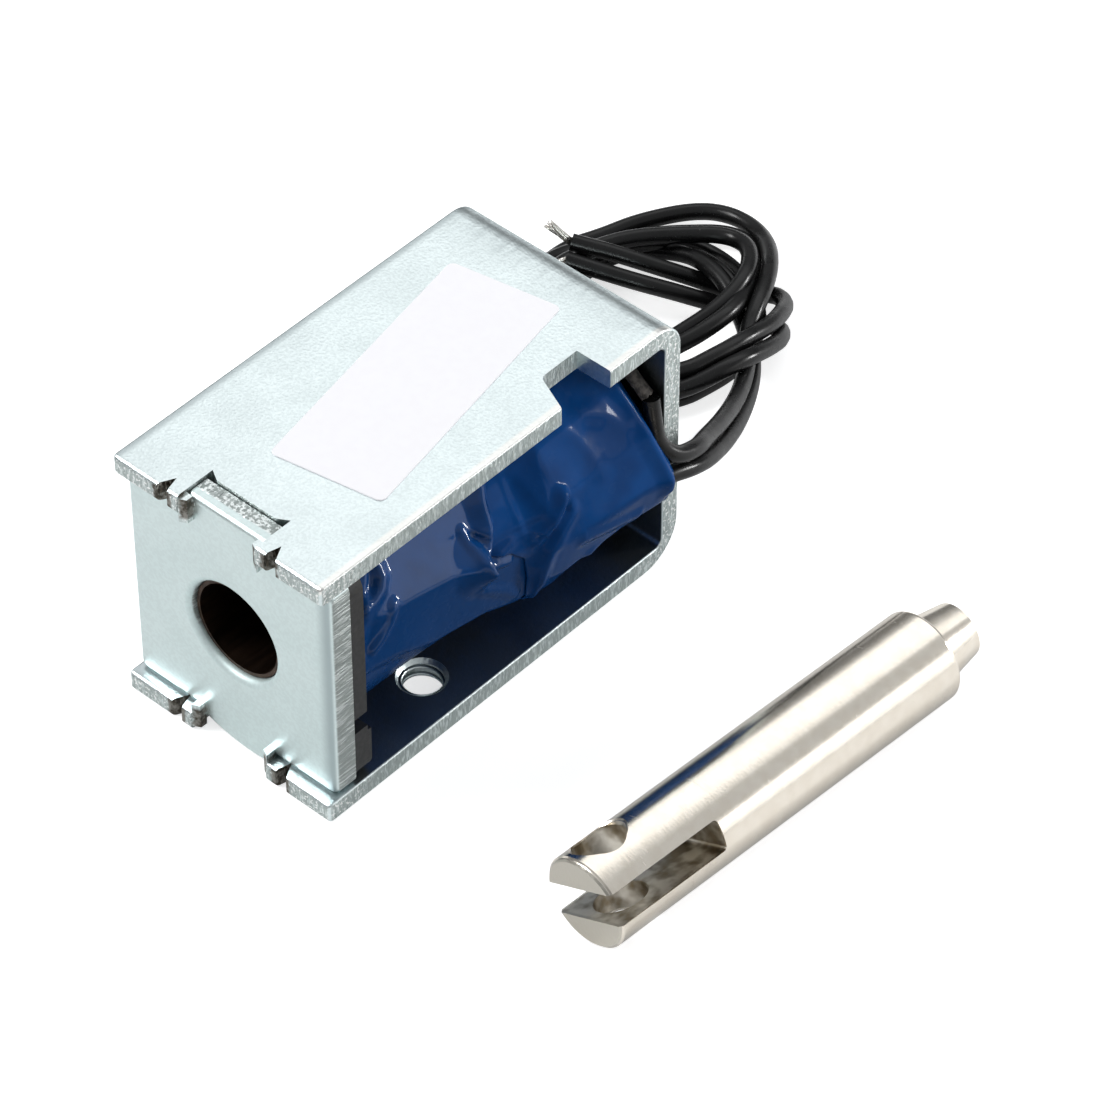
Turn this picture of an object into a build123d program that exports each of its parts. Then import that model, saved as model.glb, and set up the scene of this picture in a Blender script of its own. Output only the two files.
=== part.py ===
from build123d import *
import os
from math import tan, radians

# Open-frame push pull solenoid: a bent steel frame staked to its front plate, a wound coil
# with taped leads, and the clevis plunger drawn out and laid beside the open side.
# The bore runs along Y and opens towards -Y. The origin is the middle of the underside.

# Steel frame, one strip bent into a lying U
frame_length = 37.2
frame_height = 23.2
frame_width = 20.0
sheet = 1.7
top_bend_radius = 2.5
bottom_bend_radius = 3.6
bottom_bend_inner_radius = 0.6
tip_corner_radius = 0.4
sheared_edge_roll = 0.18

# Fingers of the strip that clasp the front plate
finger_gap = 7.5
tab_back_gap = 0.08
gap_relief_width = 0.95
gap_relief_depth = 0.55
stake_pit_width = 1.1
stake_pit_depth = 1.4
stake_lug_web = 0.9
stake_lug_reach = 0.6
stake_lug_height = 2.2
stake_lug_nose = 0.45
stake_lug_drop = 0.28

# Clearance notch in the open edge of the top
edge_notch_depth = 3.2
edge_notch_start = 7.2
edge_notch_length = 3.75
edge_notch_slant = 1.4
edge_notch_radius = 0.7

# Tapped holes in the underside
tap_core_radius = 1.65
tap_mouth_radius = 1.95
tap_mouth_depth = 0.3
tap_side = 6.1
tap_along = 4.85

# Front plate
plate_recess = 1.05
plate_sheet = 1.95
plate_side_inset = 0.2
plate_corner_radius = 0.8
plate_edge_roll = 0.5
tab_side_gap = 0.1
tab_top_drop = 0.3
tab_foot_drop = 0.2
tab_foot_side_rise = 0.45
tab_foot_cut_rise = 1.1

# Plunger and its guide
plunger_radius = 3.7
plunger_body_length = 34.3
plunger_end_chamfer = 0.3
plunger_shoulder_radius = 0.36
nose_length = 3.5
nose_base_radius = 2.8
nose_tip_radius = 2.23
running_clearance = 0.05
guide_wall = 0.3
guide_fit = 0.05
guide_inset = 0.6
plate_bore_clearance = 0.1

# Clevis end of the plunger
clevis_slot_width = 2.5
clevis_slot_depth = 10.3
clevis_root_radius = 0.3
cross_hole_radius = 2.05
cross_hole_from_end = 3.0
cross_hole_chamfer = 0.35

# Where the drawn-out plunger lies
laid_side = 30.5
laid_front = -14.7
laid_yaw = 3.6
laid_roll = 28.2

# Fixed core that stops the plunger
core_length = 12.0
core_fit = 0.02
core_seat_clearance = 0.15
core_stem_radius = 2.5
core_head_radius = 3.2
core_head_height = 0.35

# Bobbin
bobbin_wall = 0.8
flange_side_inset = 0.25
flange_height_gap = 0.1
front_flange_thickness = 1.35
front_flange_radius = 1.4
flange_foot_height = 4.3
flange_foot_thickness = 0.35
rear_flange_rim = 0.1
rear_flange_thickness = 1.3
lead_room = 4.35
wire_slot_width = 1.4
wire_slot_depth = 1.7

# Winding and the film tape around it
wrap_gap = 0.04
winding_height_gap = 1.1
winding_edge_radius = 0.4
tape_thickness = 0.2
rear_band_length = 15.4
rear_band_gap = 1.0
band_overlap = 4.0
lead_bulge_radius = 2.9
lead_bulge_lift = 0.1
lead_bulge_drop = 1.0
rim_slant = 19.0
rim_slant_drop = 0.1

# Label on the top
label_width = 9.4
label_length = 23.5
label_thickness = 0.1
label_turn = 10.3
label_side = 0.5
label_along = 1.2

# Leads
lead_radius = 0.69
core_wire_radius = 0.36
bare_length = 2.4
sleeve_radius = 0.55
solder_radius = 0.5
solder_length = 2.2
arc_share = 0.45
hank_side = -6.9
hank_along = 37.0
hank_radius_x = 10.4
hank_radius_y = 12.2
hank_height = 3.8
hank_edge_radius = 1.6
tail_gap = 0.02

# Soldered ends of the leads, by the coil and the frame
joint_lift = 1.3
joint_drop = 2.0
joint_from_back = 7.4
sleeve_from_side = 3.7
sleeve_from_back = 0.95
sleeve_from_top = 2.7
lead_a_from_side = 0.7
lead_a_from_back = 0.75
lead_a_from_top = 4.2

# Places that several pieces share
axis_height = frame_height / 2
front_edge = -frame_length / 2
back_inner = frame_length / 2 - sheet
inner_top = frame_height - sheet
winding_radius = axis_height - sheet - winding_height_gap
rear_flange_radius = winding_radius + rear_flange_rim
plate_width = frame_width - 2 * plate_side_inset
front_flange_width = frame_width - 2 * flange_side_inset
front_flange_height = frame_height - 2 * (sheet + flange_height_gap)
plate_front = front_edge + plate_recess
plate_back = plate_front + plate_sheet
finger_depth = plate_recess + plate_sheet + tab_back_gap
guide_inner = plunger_radius + running_clearance
guide_outer = guide_inner + guide_wall
bobbin_inner = guide_outer + guide_fit
bobbin_outer = bobbin_inner + bobbin_wall
flange_back = plate_back + front_flange_thickness
rear_flange_back = back_inner - lead_room
rear_flange_front = rear_flange_back - rear_flange_thickness
core_front = back_inner - core_length
stake_pit_inner = finger_gap / 2 + stake_lug_web
tape_inner = winding_radius + wrap_gap
front_band_outer = tape_inner + tape_thickness
rear_band_inner = front_band_outer + wrap_gap
rear_band_outer = rear_band_inner + tape_thickness
rear_band_end = back_inner - rear_band_gap
rear_band_start = rear_band_end - rear_band_length
front_band_end = rear_band_start + band_overlap
joint_side = winding_radius + joint_lift
joint_height = axis_height - joint_drop
joint_along = back_inner - joint_from_back
open_side = frame_width / 2
sleeve_start = (open_side - sleeve_from_side, back_inner - sleeve_from_back, inner_top - sleeve_from_top)

# Lead routes from the soldered ends down to the hank on the ground, as chosen points
lead_a_route = [(open_side - lead_a_from_side, back_inner - lead_a_from_back,
                 inner_top - lead_a_from_top),
                (10.6, 16.15, 14.4), (10.8, 17.3, 11.9), (10.6, 19.9, 10.2), (9.2, 23.1, 8.4),
                (7.2, 26.6, 6.3), (4.8, 30.2, 4.2), (2.4, 33.6, 2.5)]
lead_b_route = [(joint_side, joint_along, joint_height), (10.3, 13.0, 9.7), (10.7, 16.5, 9.6),
                (11.0, 19.6, 8.6), (10.1, 23.0, 6.9), (8.3, 26.8, 4.8), (6.1, 30.8, 2.8),
                (3.9, 34.6, 1.2)]
tail_a_plan = [(-4.6, 39.0), (-9.6, 37.0), (-15.2, 35.1)]
tail_b_plan = [(-2.6, 37.3), (-8.0, 35.2), (-14.1, 33.1)]


def across(y):
    # Plane across the bore axis at y, drawn as seen from the mouth, growing towards the mouth
    return Plane(origin=(0, y, axis_height), x_dir=(1, 0, 0), z_dir=(0, -1, 0))


def ring(outer, inner, front, back):
    return extrude(across(back) * (Circle(outer) - Circle(inner)), amount=back - front)


def turned(points):
    # Solid of revolution about Y from (radius, y) points
    return revolve(make_face(Polyline(*points, close=True)), Axis.Y)


def rounded_corner(face, toward_x, toward_y, radius):
    corner = max(face.vertices(), key=lambda v: toward_x * v.X + toward_y * v.Y)
    return fillet(corner, radius)


def strip_profile():
    # Side view of the bent strip, with y along the bore and the origin at mid height
    outer = Rectangle(frame_length, frame_height)
    outer = rounded_corner(outer, 1, 1, top_bend_radius)
    outer = rounded_corner(outer, 1, -1, bottom_bend_radius)
    open_end = sheet
    room = Pos(-(sheet + open_end) / 2, 0) * Rectangle(
        frame_length - sheet + open_end, frame_height - 2 * sheet)
    room = rounded_corner(room, 1, 1, top_bend_radius - sheet)
    room = rounded_corner(room, 1, -1, bottom_bend_inner_radius)
    return outer - room


def finger_notches():
    cut = Box(finger_gap, 2 * finger_depth, frame_height + sheet)
    room = Box(finger_gap, 2 * finger_depth, frame_height - 2 * sheet)
    return Pos(0, front_edge, axis_height) * (cut - room)


def stake_plan(points, side):
    return make_face(Polyline(*[(side * x, front_edge + y) for x, y in points], close=True))


def gap_reliefs():
    # Small pointed reliefs at the back corners of the gaps between the fingers
    edge = finger_gap / 2
    corner = [(edge - gap_relief_width, finger_depth), (edge, finger_depth + gap_relief_depth),
              (edge, finger_depth)]
    plan = stake_plan(corner, 1) + stake_plan(corner, -1)
    return extrude(plan, amount=frame_height)


def stake_pits():
    # Chisel cuts into the finger tips, right through the sheet
    pit = [(stake_pit_inner, -sheet), (stake_pit_inner, 0),
           (stake_pit_inner + stake_pit_width / 3, stake_pit_depth),
           (stake_pit_inner + stake_pit_width, 0), (stake_pit_inner + stake_pit_width, -sheet)]
    plan = stake_plan(pit, 1) + stake_plan(pit, -1)
    through = extrude(plan, amount=frame_height)
    room = Pos(0, front_edge, axis_height) * Box(
        frame_width, 2 * finger_depth, frame_height - 2 * sheet)
    return through - room


def stake_lugs():
    # Metal that the chisel pushed over the shoulders of the plate's tabs
    edge = finger_gap / 2
    lug = [(edge, stake_lug_nose / 3), (edge - stake_lug_reach, stake_lug_nose),
           (edge - stake_lug_reach, plate_recess), (edge, plate_recess)]
    plan = stake_plan(lug, 1) + stake_plan(lug, -1)
    low = extrude(Pos(0, 0, stake_lug_drop) * plan, amount=stake_lug_height)
    high_start = frame_height - stake_lug_drop - stake_lug_height
    return low + extrude(Pos(0, 0, high_start) * plan, amount=stake_lug_height)


def edge_notch():
    inner = frame_width / 2 - edge_notch_depth
    outer = frame_width / 2 + edge_notch_depth
    end = edge_notch_start + edge_notch_length
    lead_in = edge_notch_start - edge_notch_slant * (outer - inner) / edge_notch_depth
    plan = make_face(Polyline((inner, edge_notch_start), (outer, lead_in), (outer, end),
                              (inner, end), close=True))
    plan = rounded_corner(plan, -1, -0.2, edge_notch_radius)
    return extrude(Pos(0, 0, frame_height - 2 * sheet) * plan, amount=3 * sheet)


def tapped_hole():
    # Thread core with a small chamfer at both mouths, standing on z = 0
    core = Pos(0, 0, sheet / 2) * Cylinder(tap_core_radius, 2 * sheet)
    spread = tap_mouth_radius - tap_core_radius
    low = Pos(0, 0, tap_mouth_depth / 2) * Cone(
        tap_core_radius + spread, tap_core_radius, tap_mouth_depth)
    high = Pos(0, 0, sheet - tap_mouth_depth / 2) * Cone(
        tap_core_radius, tap_core_radius + spread, tap_mouth_depth)
    return core + low + high


def u_frame():
    body = extrude(Plane.YZ * strip_profile(), amount=frame_width / 2, both=True)
    body = Pos(0, 0, axis_height) * body
    # Shearing the strip leaves its long edges slightly rolled
    sheared = body.faces().sort_by(Axis.X)[0].edges() + body.faces().sort_by(Axis.X)[-1].edges()
    front_ends = body.faces().sort_by(Axis.Y)[:2].edges()
    body = fillet([e for e in sheared if e not in front_ends], sheared_edge_roll)
    tips = body.edges().filter_by(Axis.Z).group_by(Axis.Y)[0]
    body = fillet(tips, tip_corner_radius)
    body = body - finger_notches() - gap_reliefs() - stake_pits() - edge_notch()
    body = body + stake_lugs()
    for side in (1, -1):
        body = body - Pos(side * tap_side, -side * tap_along) * tapped_hole()
    stem = extrude(across(back_inner + 2 * sheet) * Circle(core_stem_radius), amount=3 * sheet)
    return body - stem


def plate_tabs():
    # One strip up the middle; its foot is cut in an arc that rises towards -X
    side = finger_gap / 2 - tab_side_gap
    top = frame_height / 2 - tab_top_drop
    low = -frame_height / 2
    left = (-side, low + tab_foot_cut_rise)
    right = (side, low + tab_foot_side_rise)
    outline = Polyline(left, (-side, top), (side, top), right)
    return make_face(outline + ThreePointArc(right, (0, low + tab_foot_drop), left))


def front_plate():
    inside = frame_height - 2 * sheet
    body = fillet(Rectangle(plate_width, inside).vertices(), plate_corner_radius)
    bore = Circle(guide_outer + plate_bore_clearance)
    plate = extrude(across(plate_back) * (body + plate_tabs() - bore), amount=plate_sheet)
    # The punched face has softly rolled edges, the other face is sharp
    rolled = plate.faces().sort_by(Axis.Y)[0].edges()
    return fillet(rolled, plate_edge_roll)


def front_flange():
    outline = fillet(Rectangle(front_flange_width, front_flange_height).vertices(),
                     front_flange_radius)
    flange = extrude(across(flange_back) * (outline - Circle(bobbin_inner)),
                     amount=front_flange_thickness)
    # Thicker foot that steadies the flange on the bottom of the frame
    foot_back = flange_back + flange_foot_thickness
    band = Pos(0, (flange_foot_height - front_flange_height) / 2) * Rectangle(
        front_flange_width, flange_foot_height)
    foot = extrude(across(foot_back) * ((outline & band) - Circle(winding_radius + wrap_gap)),
                   amount=flange_foot_thickness)
    slot_side = (front_flange_width - wire_slot_depth) / 2
    slot = Pos(slot_side, flange_back, axis_height - flange_foot_height) * Box(
        wire_slot_depth, 4 * front_flange_thickness, wire_slot_width)
    return flange + foot - slot


def bobbin():
    tube = ring(bobbin_outer, bobbin_inner, plate_back, back_inner)
    rear = ring(rear_flange_radius, bobbin_inner, rear_flange_front, rear_flange_back)
    slot = Pos(0, rear_flange_back, axis_height + rear_flange_radius) * Box(
        wire_slot_width, 4 * rear_flange_thickness, 2 * wire_slot_depth)
    return front_flange() + tube + (rear - slot)


def guide_tube():
    return ring(guide_outer, guide_inner, plate_front + guide_inset, back_inner)


def seat_taper():
    # Growth of the nose radius per millimetre, shared by the seat
    return (nose_base_radius - nose_tip_radius) / nose_length


def stop_core():
    radius = guide_inner - core_fit
    seat_depth = nose_length + core_seat_clearance
    mouth = nose_base_radius + core_seat_clearance
    floor = mouth - seat_depth * seat_taper()
    outer_face = back_inner + sheet
    body = turned([(0, core_front + seat_depth), (floor, core_front + seat_depth),
                   (mouth, core_front), (radius, core_front), (radius, back_inner),
                   (core_stem_radius, back_inner), (core_stem_radius, outer_face),
                   (core_head_radius, outer_face),
                   (core_head_radius - core_head_height, outer_face + core_head_height),
                   (0, outer_face + core_head_height)])
    return Pos(0, 0, axis_height) * body


def coil_winding():
    coil = ring(winding_radius, bobbin_outer + wrap_gap, flange_back + flange_foot_thickness,
                rear_flange_front - wrap_gap)
    rims = coil.edges().filter_by(GeomType.CIRCLE).group_by(SortBy.RADIUS)[-1]
    return fillet(rims, winding_edge_radius)


def front_tape_band():
    start = flange_back + flange_foot_thickness + wrap_gap
    return ring(front_band_outer, tape_inner, start, front_band_end)


def rear_tape_band():
    # The band stands out on the open side, where the leads run under it
    bulge = Pos(winding_radius + lead_bulge_lift, -lead_bulge_drop) * Circle(lead_bulge_radius)
    outline = make_hull([Circle(rear_band_outer).edge(), bulge.edge()])
    skin = outline - offset(outline, -tape_thickness)
    band = extrude(across(rear_band_end) * skin, amount=rear_band_end - rear_band_start)
    # Its rim leans forward towards the top
    reach = 2 * frame_height
    hinge = Pos(0, rear_band_end, axis_height - rim_slant_drop) * Rot(rim_slant, 0, 0)
    return band - hinge * Pos(0, reach / 2, reach / 2) * Box(reach, reach, reach)


def label():
    sheet_stock = Box(label_width, label_length, label_thickness)
    place = Pos(label_side, label_along, frame_height + label_thickness / 2)
    return place * Rot(0, 0, label_turn) * sheet_stock


def corner_radii(route):
    # Each arc is as large as the shorter of its two runs allows
    points = [Vector(*p) for p in route]
    radii = []
    for before, here, after in zip(points, points[1:], points[2:]):
        arriving, leaving = here - before, after - here
        shorter = min(arriving.length, leaving.length)
        radii.append(arc_share * shorter / tan(radians(arriving.get_angle(leaving)) / 2))
    return radii


def tube(route, radius, name):
    radii = corner_radii(route)
    path = FilletPolyline(*route, radius=radii)
    start = Plane(origin=path @ 0, z_dir=path % 0)
    print(name, "length", round(path.length, 1), "radii", [round(r, 1) for r in radii])
    return sweep(start * Circle(radius), path=path)


def rod(start, toward, length, radius):
    # Straight round piece from start, away from the point toward
    away = (Vector(*start) - Vector(*toward)).normalized()
    return extrude(Plane(origin=start, z_dir=away) * Circle(radius), amount=length)


def tail_route(plan):
    height = hank_height + lead_radius + tail_gap
    return [(x, y, height) for x, y in plan]


def bare_end(plan):
    route = tail_route(plan)
    return rod(route[-1], route[-2], bare_length, core_wire_radius)


def fibre_sleeve():
    reach = Vector(*lead_a_route[0]) - Vector(*sleeve_start)
    return rod(lead_a_route[0], tuple(Vector(*lead_a_route[0]) + reach), reach.length,
               sleeve_radius)


def solder_joint():
    return rod(lead_b_route[0], lead_b_route[1], solder_length, solder_radius)


def lead_hank():
    # Closed outer shape of the folded leads
    outline = Pos(hank_side, hank_along) * Ellipse(hank_radius_x, hank_radius_y)
    body = extrude(outline, amount=hank_height)
    return fillet(body.edges(), hank_edge_radius)


def plunger():
    end = plunger_body_length + nose_length
    body = turned([(0, 0), (plunger_radius - plunger_end_chamfer, 0),
                   (plunger_radius, plunger_end_chamfer), (plunger_radius, plunger_body_length),
                   (nose_base_radius, plunger_body_length), (nose_tip_radius, end), (0, end)])
    shoulder = [e for e in body.edges().filter_by(GeomType.CIRCLE)
                if abs(e.radius - plunger_radius) < 0.01 and e.center().Y > nose_length]
    body = fillet(shoulder, plunger_shoulder_radius)
    slot = Box(3 * plunger_radius, 2 * clevis_slot_depth, clevis_slot_width)
    root = slot.edges().filter_by(Axis.X).group_by(Axis.Y)[-1]
    body = body - fillet(root, clevis_root_radius)
    hole = Cylinder(cross_hole_radius, 3 * plunger_radius)
    mouth_radius = cross_hole_radius + cross_hole_chamfer
    mouth = Cone(cross_hole_radius, mouth_radius, cross_hole_chamfer)
    level = plunger_radius - cross_hole_chamfer / 2
    cut = hole + Pos(0, 0, level) * mouth + Rot(180, 0, 0) * (Pos(0, 0, level) * mouth)
    return body - Pos(0, cross_hole_from_end, 0) * cut


def laid_plunger():
    place = Pos(laid_side, laid_front, plunger_radius)
    return place * Rot(0, 0, -laid_yaw) * Rot(0, -laid_roll, 0) * plunger()


def build():
    nodes = {
        "u_frame": u_frame(),
        "front_plate": front_plate(),
        "bobbin": bobbin(),
        "guide_tube": guide_tube(),
        "stop_core": stop_core(),
        "coil_winding": coil_winding(),
        "front_tape_band": front_tape_band(),
        "rear_tape_band": rear_tape_band(),
        "label": label(),
        "fibre_sleeve": fibre_sleeve(),
        "solder_joint": solder_joint(),
        "lead_a": tube(lead_a_route, lead_radius, "lead_a"),
        "lead_b": tube(lead_b_route, lead_radius, "lead_b"),
        "lead_hank": lead_hank(),
        "lead_tail_a": tube(tail_route(tail_a_plan), lead_radius, "lead_tail_a"),
        "lead_tail_b": tube(tail_route(tail_b_plan), lead_radius, "lead_tail_b"),
        "bare_end_a": bare_end(tail_a_plan),
        "bare_end_b": bare_end(tail_b_plan),
        "plunger": laid_plunger(),
    }
    os.makedirs("parts", exist_ok=True)
    for name, shape in nodes.items():
        export_step(shape, "parts/" + name + ".step")


build()
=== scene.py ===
import math
import random
import bpy
import numpy as np
from mathutils import Matrix, Vector, noise


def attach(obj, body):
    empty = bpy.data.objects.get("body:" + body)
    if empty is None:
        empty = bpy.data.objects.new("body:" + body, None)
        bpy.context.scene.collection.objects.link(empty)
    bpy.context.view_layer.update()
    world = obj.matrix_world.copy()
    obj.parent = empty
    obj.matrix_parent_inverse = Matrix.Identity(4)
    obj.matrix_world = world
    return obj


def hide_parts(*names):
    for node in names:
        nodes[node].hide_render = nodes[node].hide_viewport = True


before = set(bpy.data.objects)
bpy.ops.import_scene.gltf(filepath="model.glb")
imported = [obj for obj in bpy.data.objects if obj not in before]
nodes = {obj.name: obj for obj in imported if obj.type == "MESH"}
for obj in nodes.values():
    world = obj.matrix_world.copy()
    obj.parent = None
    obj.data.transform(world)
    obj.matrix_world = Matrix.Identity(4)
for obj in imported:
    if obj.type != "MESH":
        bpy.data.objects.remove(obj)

mm = 0.001
random.seed(24)
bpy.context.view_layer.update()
bpy.context.scene.view_settings.view_transform = "Standard"

# camera at the photo's angle: its place in millimetres, three axes of the view, and a long lens
cameraPlace = {
    "location": (193.96, -199.53, 281.07),
    "right": (0.74281, 0.66950, 0.0),
    "up": (-0.47002, 0.52148, 0.71214),
    "back": (0.47678, -0.52898, 0.70204),
    "lens": 176.73,
    "sensor": 36.0,
    "clip": (0.02, 5.0),
}
camData = bpy.data.cameras.new("photoCamera")
camData.lens = cameraPlace["lens"]
camData.sensor_width = cameraPlace["sensor"]
camData.clip_start, camData.clip_end = cameraPlace["clip"]
cam = bpy.data.objects.new("photoCamera", camData)
bpy.context.scene.collection.objects.link(cam)
viewAxes = Matrix([cameraPlace[axis] for axis in ("right", "up", "back")]).transposed()
cam.matrix_world = Matrix.Translation(Vector(cameraPlace["location"]) * mm) @ viewAxes.to_4x4()
bpy.context.scene.camera = cam
print("camera placed")


def setSocket(tree, socket, value):
    # a link, a colour as three numbers, or a plain value
    if isinstance(value, bpy.types.NodeSocket):
        tree.links.new(value, socket)
    elif socket.type == "RGBA":
        socket.default_value = (*value, 1)
    else:
        socket.default_value = value


def setInputs(tree, node, **values):
    for key, value in values.items():
        setSocket(tree, node.inputs[key.replace("_", " ")], value)


def addNode(tree, kind, **values):
    # a shader node, with its settings and its inputs given by name
    made = tree.nodes.new(kind)
    for key, value in values.items():
        if key.replace("_", " ") in made.inputs:
            setInputs(tree, made, **{key: value})
        else:
            setattr(made, key, value)
    return made


def newMaterial(name, **values):
    mat = bpy.data.materials.new(name)
    mat.use_nodes = True
    shader = mat.node_tree.nodes["Principled BSDF"]
    setInputs(mat.node_tree, shader, **values)
    return mat, mat.node_tree, shader


def giveMaterial(obj, mat):
    obj.data.materials.clear()
    obj.data.materials.append(mat)


def linkObject(name, data):
    obj = bpy.data.objects.new(name, data)
    bpy.context.scene.collection.objects.link(obj)
    return obj


def newMesh(name, verts, faces, smooth=True):
    mesh = bpy.data.meshes.new(name)
    mesh.from_pydata(verts, [], faces)
    mesh.polygons.foreach_set("use_smooth", [smooth] * len(faces))
    mesh.update()
    return linkObject(name, mesh)


def ringFaces(rings, sides, first=0):
    # quads between closed rings of points that follow each other
    return [(first + k * sides + j, first + k * sides + (j + 1) % sides,
             first + (k + 1) * sides + (j + 1) % sides, first + (k + 1) * sides + j)
            for k in range(rings - 1) for j in range(sides)]


# floor and lights: a sky that is darker at the horizon, and soft boxes for the long highlights
studio = {
    "floorSize": 1.6,
    "floorColour": (0.76, 0.76, 0.76),
    "floorGlow": 0.08,       # as the part sees it
    "floorSeenGlow": 0.66,   # as the camera sees it
    # sine of the height in the sky, brightness
    "sky": [(0.0, 0.28), (0.12, 0.14), (0.34, 0.22), (0.56, 0.50), (0.80, 0.54), (1.0, 0.55)],
    "skyTint": (0.96, 0.98, 1.0),
    # name, place, width, height, watts; each faces the middle of the floor
    "boxes": [
        ("keyBox", (-0.44, -0.32, 0.60), 0.32, 0.32, 4.0),
        ("backBox", (-0.162, 0.473, 0.626), 0.90, 0.40, 1.02),
        ("rightBox", (0.62, 0.36, 0.19), 0.46, 0.28, 0.56),
        ("glintBox", (0.36, 0.56, 0.15), 0.12, 0.12, 2.30),
    ],
}


def buildStudio():
    h = studio["floorSize"] / 2
    floor = newMesh("floor", [(-h, -h, 0), (h, -h, 0), (h, h, 0), (-h, h, 0)], [(0, 1, 2, 3)], smooth=False)
    mat, tree, shader = newMaterial("paperWhite", Base_Color=studio["floorColour"], Roughness=0.9,
                                    Specular_IOR_Level=0.2, Emission_Color=(1, 1, 1))
    ray = addNode(tree, "ShaderNodeLightPath")
    glow = addNode(tree, "ShaderNodeMapRange", Value=ray.outputs["Is Camera Ray"],
                   To_Min=studio["floorGlow"], To_Max=studio["floorSeenGlow"])
    setInputs(tree, shader, Emission_Strength=glow.outputs["Result"])
    giveMaterial(floor, mat)
    world = bpy.data.worlds.new("studioSky")
    bpy.context.scene.world = world
    world.use_nodes = True
    tree = world.node_tree
    where = addNode(tree, "ShaderNodeTexCoord")
    height = addNode(tree, "ShaderNodeSeparateXYZ", Vector=where.outputs["Generated"]).outputs["Z"]
    ramp = addNode(tree, "ShaderNodeValToRGB")
    tree.links.new(height, ramp.inputs[0])
    stops = ramp.color_ramp.elements
    while len(stops) < len(studio["sky"]):
        stops.new(0.5)
    for stop, (sine, light) in zip(stops, studio["sky"]):
        stop.position = sine
        stop.color = (*(light * t for t in studio["skyTint"]), 1)
    tree.links.new(ramp.outputs["Color"], tree.nodes["Background"].inputs["Color"])
    for name, place, width, height, watts in studio["boxes"]:
        data = bpy.data.lights.new(name, "AREA")
        data.shape = "RECTANGLE"
        data.size, data.size_y, data.energy = width, height, watts
        box = linkObject(name, data)
        box.location = place
        box.rotation_mode = "QUATERNION"
        box.rotation_quaternion = (-Vector(place)).to_track_quat("-Z", "Y")
    print("studio built")


buildStudio()

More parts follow.
